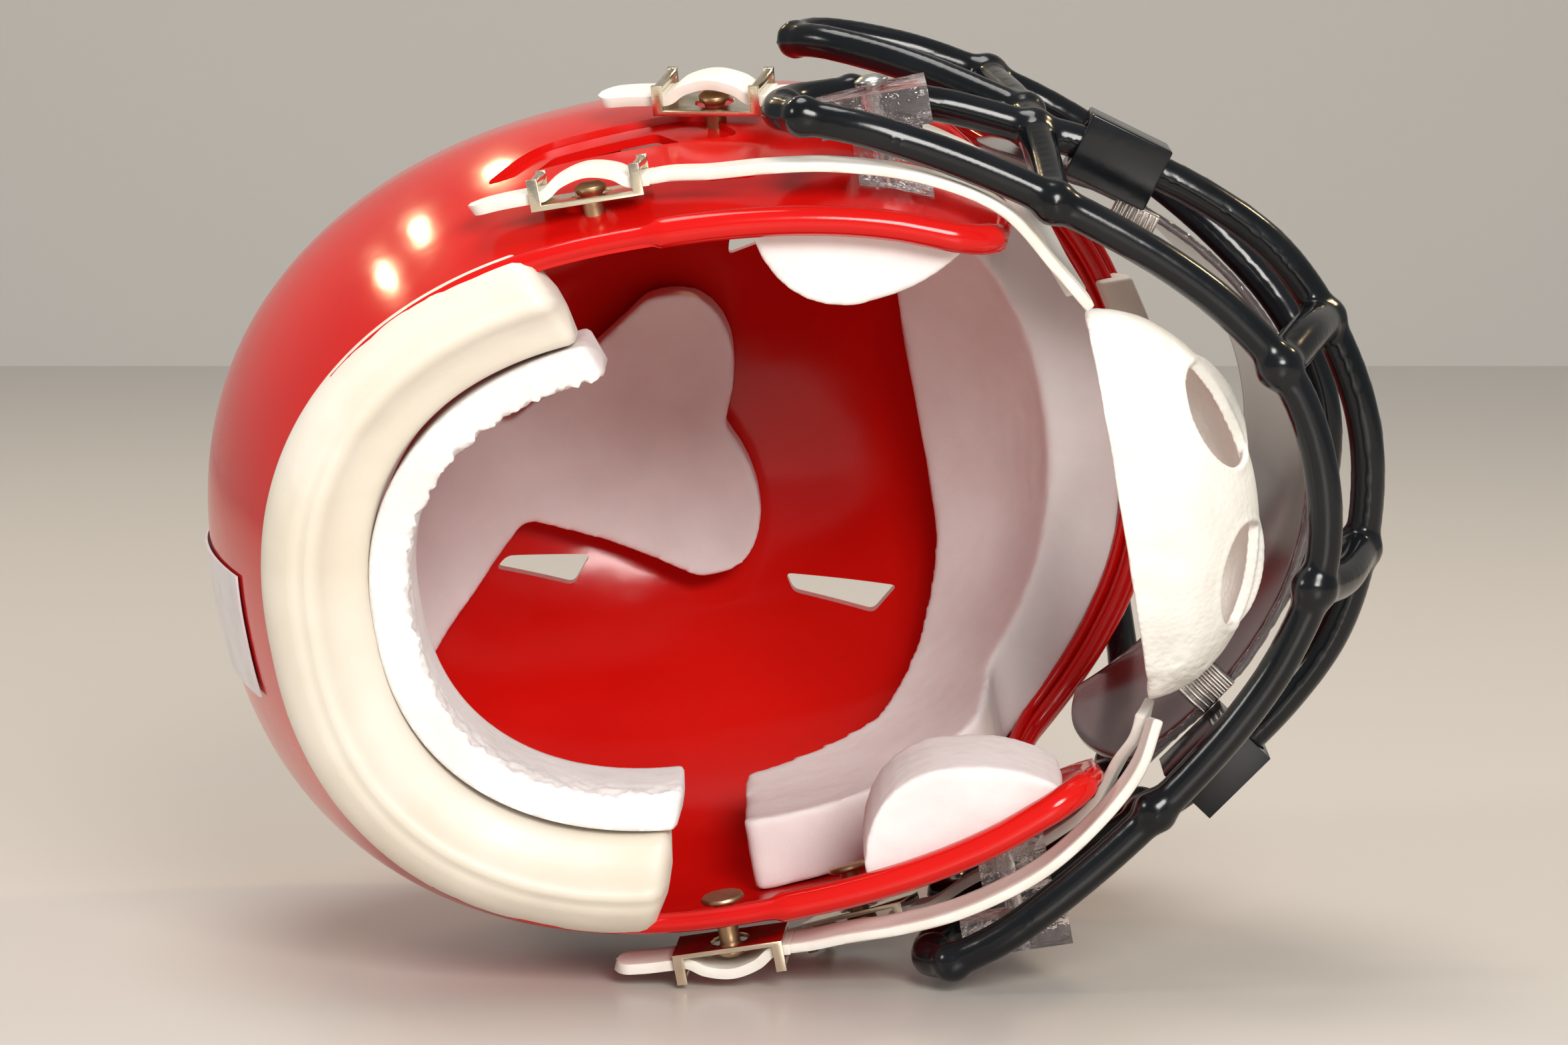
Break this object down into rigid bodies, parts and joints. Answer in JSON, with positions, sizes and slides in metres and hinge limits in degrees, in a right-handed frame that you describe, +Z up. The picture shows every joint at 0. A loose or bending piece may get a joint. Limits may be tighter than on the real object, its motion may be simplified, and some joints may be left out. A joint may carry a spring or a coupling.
{
  "type": "american football helmet",
  "caption": "Half-scale american football helmet lying on its left side: red shell, foam liner, black face guard, smoke visor and a chin strap that snaps to the shell.",
  "frame": {"origin": "centre of the overall box's underside, on the table that the helmet lies on", "axes": "+X towards the face guard, the longest extent, +Y roughly towards the crown, +Z up, roughly towards the wearer's right"},
  "size_m": [0.174, 0.136, 0.1394],
  "materials": {
    "red_shell": "glossy moulded red plastic, slightly orange-peeled",
    "cream_vinyl": "soft cream vinyl over foam, satin sheen",
    "white_foam": "white cut foam with a rough edge",
    "pad_foam": "fine white pad foam",
    "black_guard": "gloss black moulded plastic",
    "smoke_visor": "smoke-grey clear plastic sheet",
    "clear_clip": "clear moulded plastic, crinkled",
    "white_leatherette": "white dimpled leatherette",
    "white_strap": "white vinyl strap",
    "buckle_plate": "bright plated sheet metal",
    "snap_brass": "dull brass snap",
    "steel_screw": "plated steel",
    "ribbed_tab": "plated ribbed plastic",
    "plain_label": "plain pale film"
  },
  "bodies": {
    "helmet": {"shell": "red_shell", "neck_bumper": "cream_vinyl", "neck_foam": "white_foam", "crown_pad": "pad_foam", "front_pad": "pad_foam", "jaw_pad_right": "pad_foam", "jaw_pad_left": "pad_foam", "front_bumper": "cream_vinyl", "face_guard": "black_guard", "side_clip_right": "clear_clip", "side_clip_left": "clear_clip", "side_screw_right": "steel_screw", "side_screw_left": "steel_screw", "side_nut_right": "steel_screw", "side_nut_left": "steel_screw", "brow_clip_right": "clear_clip", "brow_clip_left": "clear_clip", "brow_screw_right": "steel_screw", "brow_screw_left": "steel_screw", "brow_nut_right": "steel_screw", "brow_nut_left": "steel_screw", "visor": "smoke_visor", "visor_clip_right": "black_guard", "visor_clip_left": "black_guard", "visor_tab_right": "ribbed_tab", "visor_tab_left": "ribbed_tab", "snap_post_lower_right": "snap_brass", "snap_post_lower_left": "snap_brass", "snap_post_upper_right": "snap_brass", "snap_post_upper_left": "snap_brass", "strap_upper_right": "white_strap", "strap_upper_left": "white_strap", "rear_label": "plain_label"},
    "chin_strap": {"chin_cup": "white_leatherette", "strap_lower_right": "white_strap", "strap_lower_left": "white_strap"},
    "buckle_lower_right": {"buckle_lower_right": "buckle_plate", "strap_loop_lower_right": "white_strap"},
    "buckle_lower_left": {"buckle_lower_left": "buckle_plate", "strap_loop_lower_left": "white_strap"},
    "buckle_upper_right": {"buckle_upper_right": "buckle_plate", "strap_loop_upper_right": "white_strap"},
    "buckle_upper_left": {"buckle_upper_left": "buckle_plate", "strap_loop_upper_left": "white_strap"}
  },
  "joints": [
    {"name": "chin_strap_swing", "type": "hinge", "parent": "helmet", "child": "chin_strap", "pos_m": [-0.01717, -0.04974, 0.05994], "axis": [-0.1736, -0.12, 0.9775], "range_deg": [-5, 5], "deforming": ["strap_upper_right", "strap_upper_left"]},
    {"name": "lower_snap_right", "type": "slide", "parent": "chin_strap", "child": "buckle_lower_right", "axis": [-0.1736, -0.12, 0.9775], "range_m": [0, 0.0035], "deforming": ["strap_lower_right"]},
    {"name": "lower_snap_left", "type": "slide", "parent": "chin_strap", "child": "buckle_lower_left", "axis": [0.1736, 0.12, -0.9775], "range_m": [0, 0.0035], "deforming": ["strap_lower_left"]},
    {"name": "upper_buckle_turn_right", "type": "hinge", "parent": "helmet", "child": "buckle_upper_right", "pos_m": [-0.00972, -0.03043, 0.12423], "axis": [-0.0823, -0.3095, 0.9473], "range_deg": [-6, 6]},
    {"name": "upper_buckle_turn_left", "type": "hinge", "parent": "helmet", "child": "buckle_upper_left", "pos_m": [0.01085, -0.01622, 0.00844], "axis": [0.2572, -0.0749, -0.9635], "range_deg": [-6, 6]}
  ]
}
